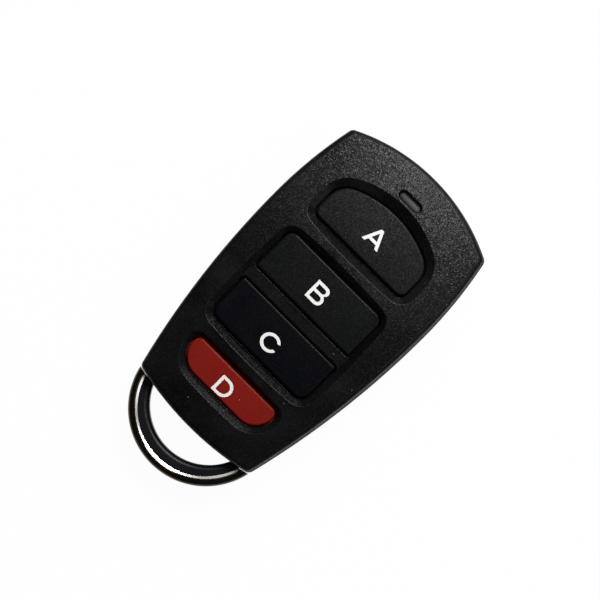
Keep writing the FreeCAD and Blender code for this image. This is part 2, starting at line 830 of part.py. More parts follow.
def cut_recess(body, name, shape, floor, fall, side_run, head_run, tail_run):
    """The sloped recess round a button: a land at the bottom, widening towards the face."""
    level = ceiling + floor
    middle_y = (shape.low + shape.high) / 2
    land = shape.grown(size("window_gap") + size("land_width"))
    stretch = (above_all - level) / size("slope_rise")
    low = tilted_sketch_on(body, f"recess_{name}_low", level, middle_y, fall)
    land.draw(low)
    high = tilted_sketch_on(body, f"recess_{name}_high", above_all, middle_y, fall)
    land.grown(side_run * stretch, head_run * stretch, tail_run * stretch).draw(high)
    feature = body.newObject("PartDesign::SubtractiveLoft", f"recess_{name}")
    feature.Profile = low
    feature.Sections = [high]
    feature.Ruled = True


def cut_tang_slots(body, low, length):
    """Slots in the tail wall for the necks of the bail."""
    slot = sketch_on(body, "tang_slots", low)
    half = size("tang_width") / 2 + size("bail_gap")
    draw_pair(slot, tang_x, half, tail_y - size("cut_spare"), foot_start)
    pocket(body, slot, length)


def make_front_shell():
    body = new_body("front_shell")
    outline = sketch_on(body, "outline", parting)
    draw_case_outline(outline, ZERO, size("face_round") + size("corner_more"))
    block = pad(body, outline, above_all - parting)
    bind(block, "TaperAngle", -size("front_draft"))
    crown_cut(body, ZERO)

    def on_rim(edge):
        return not at_height(edge, parting) and not is_upright(edge)
    dress(body, "Fillet", on_rim, size("face_round"))
    dress(body, "Chamfer", lambda edge: at_height(edge, parting), size("joint_edge"))

    cavity = sketch_on(body, "cavity", parting)
    draw_inner_outline(cavity, size("side_wall"))
    pocket(body, cavity, ceiling - parting)
    rebate = sketch_on(body, "rebate", parting)
    draw_inner_outline(rebate, size("side_wall") - size("tongue_wall") - size("tongue_gap"))
    pocket(body, rebate, size("tongue_rise") + size("tongue_gap"))

    cut_recess(body, "a", button_a, size("a_floor"), size("a_fall"),
               size("a_side_run"), size("a_head_run"), size("a_tail_run"))
    cut_recess(body, "bc", button_pair, size("bc_floor"), -size("bc_fall"),
               size("bc_side_run"), size("bc_head_run"), size("bc_tail_run"))
    cut_recess(body, "d", button_d, size("d_floor"), -size("d_fall"),
               size("d_side_run"), size("d_head_run"), size("d_tail_run"))
    windows = sketch_on(body, "windows", ceiling - size("cut_spare"))
    for shape in buttons.values():
        shape.grown(size("window_gap")).draw(windows)
    slot_shape.draw(windows)
    pocket(body, windows, above_all - ceiling + size("cut_spare"))

    into_face = ceiling + size("d_floor") / 2
    posts = sketch_on(body, "posts", parting)
    for _, x, y in screw_places:
        draw_circle(posts, x, y, size("post_radius"))
    pad(body, posts, into_face - parting)
    ribs = sketch_on(body, "ribs", board_top)
    for y in (bar_y, d_high):
        edge_x = side_x(y, size("side_wall") + size("board_gap"))
        rib_x = edge_x - size("rib_inset") - size("rib_radius")
        draw_circle(ribs, rib_x, y, size("rib_radius"))
        draw_circle(ribs, -rib_x, y, size("rib_radius"))
    pad(body, ribs, into_face - board_top)
    pilots = sketch_on(body, "pilots", parting)
    for _, x, y in screw_places:
        draw_circle(pilots, x, y, size("screw_radius") + size("pilot_gap"))
    pocket(body, pilots, screw_end + size("pilot_spare") - parting)
    cut_tang_slots(body, parting, size("tang_height") / 2 + size("bail_gap"))
    return body


def make_rear_shell():
    body = new_body("rear_shell")
    outline = sketch_on(body, "outline", parting)
    draw_case_outline(outline, ZERO, size("face_round") + size("corner_more"))
    block = pad(body, outline, parting, down=True)
    bind(block, "TaperAngle", -size("rear_draft"))
    dress(body, "Fillet", lambda edge: at_height(edge, ZERO), size("back_round"))
    dress(body, "Chamfer", lambda edge: at_height(edge, parting), size("joint_edge"))

    well = sketch_on(body, "well", size("back_wall"))
    draw_inner_outline(well, size("side_wall") + size("ledge_width"))
    pocket(body, well, parting - size("back_wall"))
    ledge = sketch_on(body, "ledge", board_low)
    draw_inner_outline(ledge, size("side_wall"))
    pocket(body, ledge, size("ledge_depth"))
    tongue = sketch_on(body, "tongue", parting)
    draw_inner_outline(tongue, size("side_wall") - size("tongue_wall"))
    draw_inner_outline(tongue, size("side_wall"))
    pad(body, tongue, size("tongue_rise"))

    nest_inner = size("cell_radius") + size("cell_gap")
    nest_outer = nest_inner + size("nest_wall")
    nest = sketch_on(body, "nest", size("back_wall"))
    draw_circle(nest, ZERO, cell_y, nest_outer)
    draw_circle(nest, ZERO, cell_y, nest_inner)
    pad(body, nest, size("nest_rise"))
    notch = sketch_on(body, "nest_notch", size("back_wall"))
    notch_half = size("strap_width") / 2 + size("strap_gap")
    notch_x = nest_outer + size("strap_reach")
    draw_rectangle(notch, -notch_x, cell_y - notch_half, notch_x, cell_y + notch_half)
    pocket(body, notch, size("nest_rise"))

    bosses = sketch_on(body, "bosses", size("back_wall") / 2)
    for _, x, y in screw_places:
        draw_circle(bosses, x, y, boss_radius)
    pad(body, bosses, parting - size("back_wall") / 2)
    seats = sketch_on(body, "screw_seats")
    for _, x, y in screw_places:
        draw_circle(seats, x, y, head_bore)
    pocket(body, seats, size("seat_depth"))
    bores = sketch_on(body, "screw_bores")
    for _, x, y in screw_places:
        draw_circle(bores, x, y, size("screw_radius") + size("bore_gap"))
    pocket(body, bores, parting)

    low = tang_low - size("bail_gap")
    cut_tang_slots(body, low, parting + size("tongue_rise") - low)
    feet = sketch_on(body, "tang_feet", low)
    draw_pair(feet, tang_x, size("foot_width") / 2 + size("bail_gap"),
              foot_start - size("bail_gap"), foot_end + size("bail_gap"))
    pocket(body, feet, parting + size("tongue_rise") - low)
    return body


# Buttons and the indicator lens

def make_button(letter, shape):
    body = new_body(f"button_{letter}")
    roof = ceiling + size("hollow_rise")
    plug = sketch_on(body, "plug", flange_low)
    shape.draw(plug)
    pad(body, plug, above_all - flange_low)
    crown_cut(body, size("button_drop"))

    def on_top(edge):
        return not at_height(edge, flange_low) and not is_upright(edge)
    dress(body, "Fillet", on_top, size("button_round"))
    flange = sketch_on(body, "flange", flange_low)
    shape.grown(size("window_gap") + size("flange_reach")).draw(flange)
    pad(body, flange, size("flange_thick"))
    hollow = sketch_on(body, "hollow", flange_low)
    shape.hollow(size("button_wall")).draw(hollow)
    pocket(body, hollow, roof - flange_low)
    stub = sketch_on(body, "stub", plunger_top)
    draw_circle(stub, ZERO, (shape.low + shape.high) / 2, size("stub_radius"))
    pad(body, stub, roof - plunger_top)
    return body


def make_lens():
    body = new_body("indicator_lens")
    low = ceiling - size("lens_flange")
    stem = sketch_on(body, "stem", low)
    inner = slot_shape.grown(-size("lens_gap"))
    inner.draw(stem)
    pad(body, stem, above_all - low)
    crown_cut(body, size("lens_sink"))

    def on_top(edge):
        return not at_height(edge, low) and not is_upright(edge)
    dress(body, "Fillet", on_top, size("lens_round"))
    flange = sketch_on(body, "flange", low)
    inner.grown(size("lens_reach")).draw(flange)
    pad(body, flange, size("lens_flange"))
    guide_low = board_top + size("lamp_height") + size("lamp_gap")
    guide = sketch_on(body, "guide", guide_low)
    half_x = size("lamp_length") / 2
    half_y = size("lamp_width") / 2
    draw_rectangle(guide, -half_x, slot_y - half_y, half_x, slot_y + half_y)
    pad(body, guide, low - guide_low)
    return body


def make_lamp():
    block = box("lamp_block", size("lamp_length"), size("lamp_width"), size("lamp_height"),
                0, slot_y, board_top)
    well = cylinder("lamp_opening", size("lamp_well"), size("lamp_well_depth"),
                    board_top + size("lamp_height") - size("lamp_well_depth"))
    bind(well, "Placement.Base.y", slot_y)
    return cut("indicator_lamp", block, well)


# Circuit board and power

def make_board():
    body = new_body("circuit_board")
    outline = sketch_on(body, "outline", board_low)
    draw_inner_outline(outline, size("side_wall") + size("board_gap"))
    pad(body, outline, size("board_thick"))
    trim = sketch_on(body, "trim", board_low)
    draw_rectangle(trim, -half_width, tail_y, half_width, board_tail)
    pocket(body, trim, size("board_thick"))
    notches = sketch_on(body, "notches", board_low)
    for _, x, y in screw_places[:2]:
        draw_circle(notches, x, y, boss_radius + size("board_gap"))
    pocket(body, notches, size("board_thick"))
    return body


def make_cell():
    body = new_body("coin_cell")
    radius = size("cell_radius")
    edge = size("cell_edge")
    top = cell_low + size("cell_height")
    rim = radius - size("cell_crimp")
    cap = rim - size("cell_groove")
    turned(body, (
        (ZERO, cell_low, None),
        (radius - edge, cell_low, edge),
        (radius, cell_low + edge, None),
        (radius, top - edge * 2, edge),
        (radius - edge, top - edge, None),
        (rim, top - edge, None),
        (rim, top - edge * 2, None),
        (cap, top - edge * 2, None),
        (cap, top - edge, edge),
        (cap - edge, top, None),
        (ZERO, top, None),
    ))
    bind(body, "Placement.Base.y", cell_y)
    return body


def make_strap():
    leg_x = size("cell_radius") + size("cell_gap") + size("nest_wall") + size("strap_reach")
    thick = size("strap_thick")
    width = size("strap_width")
    low = size("back_wall")
    base = box("strap_base", leg_x * 2, width, thick, 0, cell_y, low)
    legs = [
        box(f"strap_leg_{name}", thick, width, board_low - low, side, cell_y, low)
        for name, side in (("left", thick / 2 - leg_x), ("right", leg_x - thick / 2))]
    strap = document.addObject("Part::MultiFuse", "positive_contact")
    strap.Shapes = [base] + legs
    return labelled(strap, "positive_contact")


def make_leaf():
    leaf = box("negative_contact", size("leaf_length"), size("leaf_width"), size("leaf_thick"),
               0, cell_y, leaf_low)
    return labelled(leaf, "negative_contact")


# Switches, one under each button

def make_switch(letter, shape):
    """The pieces of one switch, built on the Z axis and moved to their place."""
    side = size("switch_side")
    well_radius = size("dome_radius") + size("well_gap")
    cover_low = size("switch_base")
    cover_top = cover_low + size("switch_cover")
    shaft = size("plunger_radius")
    foot_low = size("switch_floor") + size("dome_rise") + size("dome_gap")

    block = box(f"switch_block_{letter}", side, side, cover_low, 0, 0, ZERO)
    well = cylinder(f"switch_well_{letter}", well_radius, cover_low - size("switch_floor"),
                    size("switch_floor"))
    base = cut(f"switch_base_{letter}", block, well)

    plate = box(f"switch_plate_{letter}", side, side, size("switch_cover"), 0, 0, cover_low)
    hole = cylinder(f"switch_hole_{letter}", shaft + size("plunger_gap"),
                    size("switch_cover"), cover_low)
    cover = cut(f"switch_cover_{letter}", plate, hole)

    foot = cylinder(f"plunger_foot_{letter}", size("dome_radius"), size("plunger_foot"), foot_low)
    stem = cylinder(f"plunger_stem_{letter}", shaft, size("switch_height") - foot_low, foot_low)
    plunger = fuse(f"switch_plunger_{letter}", foot, stem)

    dome = new_body(f"switch_dome_{letter}")
    floor = size("switch_floor")
    rise = size("dome_rise")
    thick = size("dome_thick")
    radius = size("dome_radius")
    outer_arc = (radius * radius + rise * rise) / (rise * 2)
    inner_radius = radius - thick
    inner_rise = rise - thick
    inner_arc = (inner_radius * inner_radius + inner_rise * inner_rise) / (inner_rise * 2)
    turned(dome, (
        (inner_radius, floor, None),
        (radius, floor, outer_arc),
        (ZERO, floor + rise, None),
        (ZERO, floor + inner_rise, -inner_arc),
    ))

    lead_x = side / 2 + size("lead_reach") / 2
    lead_y = size("lead_pitch") / 2
    leads = group(f"switch_leads_{letter}", [
        box(f"switch_lead_{letter}{number}", size("lead_reach"), size("lead_width"),
            size("lead_thick"), x, y, ZERO)
        for number, (x, y) in enumerate((
            (lead_x, lead_y), (-lead_x, lead_y), (-lead_x, -lead_y), (lead_x, -lead_y)))])
    pieces = [base, cover, plunger, dome, leads]
    for piece in pieces:
        move_to(piece, ZERO, (shape.low + shape.high) / 2, board_top)
    return pieces


# Chips on the board

def make_chips():
    chip_x = size("chip_inset") - half_width
    resonator_x = half_width - size("resonator_inset")
    chip_y = size("chip_y")
    chip_low = board_top + size("chip_stand")
    chip = labelled(
        box("encoder_chip", size("chip_width"), size("chip_length"),
            size("chip_height") - size("chip_stand"), chip_x, chip_y, chip_low),
        "encoder_chip")
    pin_x = size("chip_width") / 2 + size("pin_reach") / 2
    pins = group("encoder_leads", [
        box(f"encoder_lead_{side}_{number}", size("pin_reach"), size("pin_width"),
            size("pin_thick"), chip_x + pin_x * side, chip_y + size("pin_pitch") * number,
            board_top)
        for side in (-1, 1) for number in range(-3, 4)])
    resonator = labelled(
        box("resonator", size("resonator_side"), size("resonator_side"),
            size("resonator_height"), resonator_x, size("resonator_y"), board_top),
        "resonator")
    transistor = labelled(
        box("transistor", size("transistor_width"), size("transistor_length"),
            size("transistor_height"), resonator_x, size("transistor_y"), board_top),
        "transistor")
    pitch = size("part_pitch")
    resistors = group("chip_resistors", [
        box(f"resistor_{number}", size("part_length"), size("part_width"),
            size("resistor_height"), resonator_x, size("resistor_y") - pitch * number,
            board_top)
        for number in range(5)])
    capacitors = group("chip_capacitors", [
        box(f"capacitor_{number}", size("part_length"), size("part_width"),
            size("capacitor_height"), chip_x, size("resonator_y") - pitch * (number - 1),
            board_top)
        for number in range(4)])
    coils = group("chip_inductors", [
        box(f"inductor_{name}", size("coil_side"), size("coil_side"), size("coil_height"),
            side, d_high + size("coil_gap"), board_top)
        for name, side in (("left", chip_x), ("right", resonator_x))])
    return [chip, pins, resonator, transistor, resistors, capacitors, coils]


# Screws

def make_screw(name, x, y):
    body = new_body(f"case_screw_{name}")
    seat = size("seat_depth")
    head_low = seat - size("screw_head_rise")
    head = size("screw_head_radius")
    bend = size("screw_head_round")
    shank = size("screw_radius")
    turned(body, (
        (ZERO, head_low, None),
        (head - bend, head_low, bend),
        (head, head_low + bend, None),
        (head, seat, None),
        (shank, seat, None),
        (shank, screw_end - size("screw_tip"), None),
        (shank / 2, screw_end, None),
        (ZERO, screw_end, None),
    ))
    long_half = size("cross_length") / 2
    short_half = size("cross_width") / 2
    for way, half_x, half_y in (("across", long_half, short_half), ("along", short_half, long_half)):
        cross = sketch_on(body, f"cross_{way}", head_low)
        draw_rectangle(cross, -half_x, -half_y, half_x, half_y)
        pocket(body, cross, size("cross_depth"))
    bind(body, "Placement.Base.x", x)
    bind(body, "Placement.Base.y", y)
    return body


# Build, check and write every piece

pieces = [make_front_shell(), make_rear_shell(), make_bow(), make_core(), make_board()]
pieces += [make_button(letter, shape) for letter, shape in buttons.items()]
pieces += [make_lens(), make_lamp(), make_cell(), make_strap(), make_leaf()]
for letter, shape in buttons.items():
    pieces += make_switch(letter, shape)
pieces += make_chips()
pieces += [make_screw(*place) for place in screw_places]
document.recompute()

for thing in document.Objects:
    if "Invalid" in thing.State or "Error" in thing.State:
        raise RuntimeError(f"{thing.Name} did not build: {thing.State}")
for piece in pieces:
    if piece.Shape.isNull() or not piece.Shape.isValid():
        raise RuntimeError(f"{piece.Label} has no valid shape")

os.makedirs("parts", exist_ok=True)
for piece in pieces:
    piece.Shape.exportStep(f"parts/{piece.Label}.step")
    bounds = piece.Shape.BoundBox
    print(f"{piece.Label}: {len(piece.Shape.Solids)} solid, {piece.Shape.Volume:.2f} mm3, "
          f"z {bounds.ZMin:.2f} to {bounds.ZMax:.2f}")
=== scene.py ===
import math

import bmesh
import bpy
from bpy.props import FloatProperty, FloatVectorProperty, PointerProperty
from mathutils import Matrix, Vector


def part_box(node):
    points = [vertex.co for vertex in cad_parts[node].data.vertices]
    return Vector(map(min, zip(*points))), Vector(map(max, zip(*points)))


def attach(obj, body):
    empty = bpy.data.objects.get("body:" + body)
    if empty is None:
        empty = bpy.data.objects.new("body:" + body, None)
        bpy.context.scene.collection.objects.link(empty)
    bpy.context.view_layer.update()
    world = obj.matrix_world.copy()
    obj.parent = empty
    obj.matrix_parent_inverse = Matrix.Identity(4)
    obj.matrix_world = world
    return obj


bl_info = {
    "name": "Gate Remote Control",
    "version": (1, 0, 0),
    "blender": (4, 5, 0),
    "location": "View3D > Sidebar > Gate Remote",
    "description": "Finishes a four-button gate remote control and sets its stage",
    "category": "Object",
}

MM = 0.001
LETTERS = "ABCD"

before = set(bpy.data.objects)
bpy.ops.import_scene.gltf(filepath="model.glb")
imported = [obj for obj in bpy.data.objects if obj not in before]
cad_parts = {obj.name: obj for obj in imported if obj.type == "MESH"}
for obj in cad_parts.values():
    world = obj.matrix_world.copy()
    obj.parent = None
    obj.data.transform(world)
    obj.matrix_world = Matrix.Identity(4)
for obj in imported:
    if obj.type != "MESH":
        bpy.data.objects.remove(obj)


# Places and names of CAD nodes

def middle_of(name):
    """The middle of a node's box at rest."""
    low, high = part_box(name)
    return (Vector(low) + Vector(high)) / 2


def bow_ring():
    """Centre and inner radius of the bail's bow, seen from above."""
    points = [vertex.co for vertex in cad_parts["bail_bow"].data.vertices]
    lowest = min(point.y for point in points)
    side = max(points, key=lambda point: point.x)
    rise = side.y - lowest
    outer = (side.x ** 2 + rise ** 2) / (2 * rise)
    centre = Vector((0, lowest + outer, 0))
    inner = min((point.xy - centre.xy).length for point in points)
    return centre, inner


def by_letter(stem):
    """The names of four like nodes, one to a button."""
    return [f"{stem}_{letter.lower()}" for letter in LETTERS]


# What a user may change

def colour(name, description, value):
    """A colour with its default in linear red, green and blue."""
    return FloatVectorProperty(
        name=name, description=description, default=value, size=3, subtype="COLOR",
        min=0.0, max=1.0)


def length(name, description, millimetres):
    """A length with its default given in millimetres."""
    return FloatProperty(
        name=name, description=description, default=millimetres * MM, min=0.0,
        subtype="DISTANCE", unit="LENGTH", precision=6)


class PlasticSettings(bpy.types.PropertyGroup):
    """Colours and grain of the moulded pieces."""

    case_colour: colour("Case", "Colour of both shells", (0.0016, 0.0017, 0.0022))
    grey_colour: colour(
        "Buttons A and B", "Colour of the two grey buttons", (0.0032, 0.0038, 0.0036))
    dark_colour: colour("Button C", "Colour of the blue-black button", (0.0013, 0.0015, 0.0028))
    red_colour: colour("Button D", "Colour of the red button", (0.198, 0.0105, 0.0072))
    lens_colour: colour("Lens", "Colour of the indicator lens", (0.055, 0.057, 0.06))
    grain_size: length("Grain", "Width of one crater of the moulded grain", 0.2)
    grain_depth: length("Grain depth", "Depth of the moulded grain", 0.012)
    matte_size: length("Fine grain", "Width of the fine grain of the buttons", 0.16)
    matte_depth: length("Fine grain depth", "Depth of the fine grain of the buttons", 0.004)
    # Width of the edges that are lightened for wear and as a painted highlight
    edge_wear_and_highlight_width: length("Rubbed edge", "Width of the edges that hands have rubbed", 0.22)


class LegendSettings(bpy.types.PropertyGroup):
    """Printed channel letters on the buttons."""

    print_colour: colour("Print", "Colour of the printed letters", (0.86, 0.86, 0.84))
    height: length("Letter height", "Height of a letter", 3.75)
    thickness: length("Print thickness", "Height of the paint over the button", 0.012)
    step: length("Print step", "Longest edge in a letter's mesh", 0.45)


class MetalSettings(bpy.types.PropertyGroup):
    """Plating of the bow, painted dark as a painted reflection and with a painted highlight on
    its bevel, and satin plastic of the core of the bail.
    """

    # The bow's colour is painted dark, as a painted reflection of dark surroundings on the
    # plating.
    plating_and_dark_reflection_colour: colour("Bow", "Dark plating of the bow", (0.06, 0.049, 0.04))
    # The bevel's colour and its width set the painted highlight along the bow's inner edge.
    painted_highlight_colour: colour("Bevel", "Bright cut along the bow's inner edge", (0.78, 0.75, 0.7))
    satin_colour: colour("Core", "Satin inner band of the bail", (0.0032, 0.0036, 0.0055))
    bevel_width: length("Bevel width", "Width of the bright cut", 0.38)


class StageSettings(bpy.types.PropertyGroup):
    """Floor and camera."""

    floor_colour: colour("Floor", "Colour of the floor", (0.86, 0.86, 0.86))
    floor_size: FloatProperty(
        name="Floor size", description="Side of the square floor", default=6.0, min=0.5,
        subtype="DISTANCE", unit="LENGTH")
    focal_length: FloatProperty(
        name="Lens", description="Focal length of the camera in millimetres",
        default=250.0, min=20.0, subtype="DISTANCE_CAMERA")
    view_width: length("View width", "Width that the camera sees at the object", 104.0)
    turn: FloatProperty(
        name="Turn", description="Turn of the camera about the line of sight",
        default=math.radians(45.0), subtype="ANGLE", unit="ROTATION")


# Nodes. A place in a texture is counted in steps, so that a texture's scale of 1 is one step.

NODE_SPACING = 190


def feed(tree, inputs, values):
    """Link values to inputs, or set the inputs to them where they are plain."""
    for name, value in values.items():
        if isinstance(value, bpy.types.NodeSocket):
            tree.links.new(value, inputs[name])
        else:
            inputs[name].default_value = value


def node(tree, kind, inputs=None, **settings):
    """A new node with its settings and its inputs."""
    made = tree.nodes.new(kind)
    made.location = (len(tree.nodes) * NODE_SPACING, 0)
    for key, value in settings.items():
        setattr(made, key, value)
    feed(tree, made.inputs, inputs or {})
    return made


def math_node(tree, operation, first, second=None, clamp=False):
    """The output of a Math node."""
    inputs = {0: first} if second is None else {0: first, 1: second}
    return node(tree, "ShaderNodeMath", inputs, operation=operation, use_clamp=clamp).outputs[0]


def times(tree, first, second, clamp=False):
    """One value times another."""
    return math_node(tree, "MULTIPLY", first, second, clamp)


def vector_math(tree, operation, inputs, output=0):
    """An output of a Vector Math node."""
    return node(tree, "ShaderNodeVectorMath", inputs, operation=operation).outputs[output]


def spread(tree, value, low, high, new_low=0.0, new_high=1.0):
    """A value stretched from one range to another and clamped there."""
    inputs = {0: value, 1: low, 2: high, 3: new_low, 4: new_high}
    return node(tree, "ShaderNodeMapRange", inputs, clamp=True).outputs[0]


def between(tree, value, new_low, new_high):
    """A value that runs from 0 to 1, stretched to another range."""
    return spread(tree, value, 0.0, 1.0, new_low, new_high)


def mix_colours(tree, factor, first, second):
    """The first colour turning into the second as the factor goes from 0 to 1."""
    inputs = {0: factor, 6: first, 7: second}
    return node(tree, "ShaderNodeMix", inputs, data_type="RGBA").outputs[2]


def object_place(tree):
    """The place on the object in metres."""
    return node(tree, "ShaderNodeTexCoord").outputs["Object"]


def place_in(tree, size):
    """The place on the object counted in steps of a size."""
    count = math_node(tree, "DIVIDE", 1.0, size)
    return vector_math(tree, "SCALE", {0: object_place(tree), "Scale": count})


def noise(tree, place, scale, detail, **more):
    """The value of a noise, around 0.5."""
    inputs = {"Vector": place, "Scale": scale, "Detail": detail, **more}
    return node(tree, "ShaderNodeTexNoise", inputs).outputs[0]


def cells(tree, place):
    """The outputs of a texture of plain cells, one to a step, each of its own colour."""
    inputs = {"Vector": place, "Scale": 1.0}
    return node(tree, "ShaderNodeTexVoronoi", inputs, feature="F1").outputs


def own_normal(tree):
    """The direction that the surface faces before any bump."""
    return node(tree, "ShaderNodeNewGeometry").outputs["Normal"]


def upward_part(tree):
    """How far the surface faces up: 1 is level, and -1 is level and faces down."""
    return node(tree, "ShaderNodeSeparateXYZ", {0: own_normal(tree)}).outputs["Z"]


def bump(tree, height, depth, **more):
    """The normal of a surface whose grain is depth deep."""
    return node(tree, "ShaderNodeBump", {"Height": height, "Distance": depth, **more}).outputs[0]


# Shader groups that the materials share. Their sizes and depths are in metres.

def new_socket(tree, name, side):
    """A socket of a group: one named Normal is a direction, and any other one is a number."""
    kind = "NodeSocketVector" if name == "Normal" else "NodeSocketFloat"
    return tree.interface.new_socket(name, in_out=side, socket_type=kind)


def new_group(name, inputs, outputs):
    """An empty group with its inputs and their defaults, and its outputs."""
    tree = bpy.data.node_groups.new(name, "ShaderNodeTree")
    for socket, value in inputs.items():
        new_socket(tree, socket, "INPUT").default_value = value
    for socket in outputs:
        new_socket(tree, socket, "OUTPUT")
    return tree, node(tree, "NodeGroupInput").outputs, node(tree, "NodeGroupOutput").inputs


def group_node(tree, name, inputs=None):
    """The outputs of a group placed in a material."""
    return node(tree, "ShaderNodeGroup", inputs, node_tree=bpy.data.node_groups[name]).outputs


def make_spark_grain():
    """Overlapping craters, as spark erosion leaves them in a mould, each with its own tilt."""
    tree, given, result = new_group(
        "Spark grain",
        {"Size": 0.2 * MM, "Depth": 0.01 * MM, "Tilt": 0.1, "Normal": (0, 0, 1)},
        ("Height", "Facet", "Mottle", "Normal"))
    place = place_in(tree, given["Size"])
    craters = node(
        tree, "ShaderNodeTexVoronoi", {"Vector": place, "Scale": 1.0, "Smoothness": 0.35},
        feature="SMOOTH_F1")
    ridges = noise(tree, place, 0.9, 3.0, Roughness=0.62)
    mottle = noise(tree, place, 0.17, 3.0, Roughness=0.55)
    deep = times(tree, spread(tree, craters.outputs["Distance"], 0.1, 0.8), 0.45)
    fine = times(tree, spread(tree, ridges, 0.28, 0.72), 0.55)
    height = math_node(tree, "ADD", deep, fine)
    lone = cells(tree, place)
    lot = node(tree, "ShaderNodeSeparateColor", {0: lone["Color"]}).outputs[0]
    lean = vector_math(tree, "SUBTRACT", {0: lone["Color"], 1: (0.5, 0.5, 0.5)})
    lean = vector_math(tree, "SCALE", {0: lean, "Scale": given["Tilt"]})
    leaning = vector_math(tree, "ADD", {0: given["Normal"], 1: lean})
    tilted = vector_math(tree, "NORMALIZE", {0: leaning})
    feed(tree, result, {
        "Height": height,
        "Facet": spread(tree, lot, 0.8, 0.97),
        "Mottle": spread(tree, mottle, 0.3, 0.7),
        "Normal": bump(tree, height, given["Depth"], Normal=tilted)})


def make_edge_wear_and_highlight():
    """Softened edges, and a mask that is white where hands rub them, uneven along them; the
    materials lighten their colour by it, for wear and as a painted highlight.
    """
    tree, given, result = new_group("Rubbed edges", {"Width": 0.2 * MM}, ("Mask", "Normal"))
    rounded = node(tree, "ShaderNodeBevel", {"Radius": given["Width"]}, samples=6).outputs[0]
    near = vector_math(tree, "DOT_PRODUCT", {0: rounded, 1: own_normal(tree)}, "Value")
    turned = spread(tree, near, 0.995, 0.8)
    uneven = noise(tree, place_in(tree, 1.4 * MM), 1.0, 2.0)
    feed(tree, result, {
        "Mask": times(tree, turned, spread(tree, uneven, 0.3, 0.6), True),
        "Normal": rounded})


def make_settled_dust():
    """A mask of sparse specks and a thin haze on faces that look up."""
    tree, given, result = new_group("Settled dust", {"Speck": 0.9 * MM}, ("Specks", "Haze"))
    upward = spread(tree, upward_part(tree), 0.5, 0.95)
    place = place_in(tree, given["Speck"])
    dots = cells(tree, place)
    near = spread(tree, dots["Distance"], 0.09, 0.05)
    lot = node(tree, "ShaderNodeSeparateColor", {0: dots["Color"]}).outputs[1]
    speck = times(tree, near, math_node(tree, "GREATER_THAN", lot, 0.93))
    cloud = noise(tree, place, 0.08, 4.0)
    feed(tree, result, {
        "Specks": times(tree, speck, upward),
        "Haze": times(tree, spread(tree, cloud, 0.42, 0.75), upward)})


def make_slow_tone():
    """A broad, faint change of tone and of polish."""
    tree, given, result = new_group("Slow tone", {"Size": 6.0 * MM}, ("Tone", "Polish"))
    place = place_in(tree, given["Size"])
    broad = noise(tree, place, 1.0, 3.0)
    other = noise(tree, place, 0.61, 4.0, Distortion=0.4)
    feed(tree, result, {
        "Tone": spread(tree, broad, 0.3, 0.7),
        "Polish": spread(tree, other, 0.3, 0.7)})


def make_hairlines():
    """Fine lines drawn along one way, as handling leaves them on metal."""
    tree, given, result = new_group("Hairlines", {"Size": 0.12 * MM}, ("Height", "Mask"))
    place = place_in(tree, given["Size"])
    drawn = vector_math(tree, "MULTIPLY", {0: place, 1: (0.08, 1.0, 1.0)})
    lines = noise(tree, drawn, 1.0, 2.0, Distortion=0.15)
    feed(tree, result, {
        "Height": spread(tree, lines, 0.25, 0.75),
        "Mask": spread(tree, lines, 0.56, 0.66)})


# Materials. A number after a colour in lighter and shades says how many times as light it is.

# How far the facets of the grain lean, as a share of the normal
CASE_TILT = 0.135
BUTTON_TILT = 0.12
# The middle of the roughness, and how far glancing light finds the case rougher
CASE_ROUGHNESS = 0.3
BUTTON_ROUGHNESS = 0.32
GLANCING_ROUGHNESS = 0.5
# Mirror reflection of the plastics, where 0.5 is that of glass
CASE_GLOSS = 0.16
BUTTON_GLOSS = 0.1
SMOOTH_GLOSS = 0.2
# How much a painted glint on a facet adds to the strongest channel of a button's colour
PAINTED_GLINT_LIGHT = 0.004
# Width over which the painted highlight on the bow's bevel fades out
PAINTED_HIGHLIGHT_SOFTNESS = 0.02 * MM
# Dust on the case, as a haze and as specks, on the buttons and on the lens
HAZE_COLOUR = (0.5, 0.49, 0.46, 1.0)
SPECK_COLOUR = (0.6, 0.59, 0.56, 1.0)
BUTTON_DUST = (0.55, 0.54, 0.5, 1.0)
LENS_DUST = (0.45, 0.45, 0.43, 1.0)
WHITE = (1.0, 1.0, 1.0, 1.0)


def empty_material(name):
    """A material and its emptied tree; it is made if no node brought it."""
    made = bpy.data.materials.get(name) or bpy.data.materials.new(name)
    made.use_nodes = True
    made.node_tree.nodes.clear()
    return made, made.node_tree


def start_material(slot):
    """The material of a slot, its tree and the inputs of its shader."""
    made, tree = empty_material(slot)
    shader = node(tree, "ShaderNodeBsdfPrincipled")
    node(tree, "ShaderNodeOutputMaterial", {0: shader.outputs[0]})
    return made, tree, shader.inputs


def lighter(value, factor):
    """A colour times a factor, with full alpha."""
    return tuple(min(1.0, part * factor) for part in value[:3]) + (1.0,)


def shades(tree, factor, base, low, high):
    """A colour that runs from one shade of itself to another as the factor goes to 1."""
    return mix_colours(tree, factor, lighter(base, low), lighter(base, high))


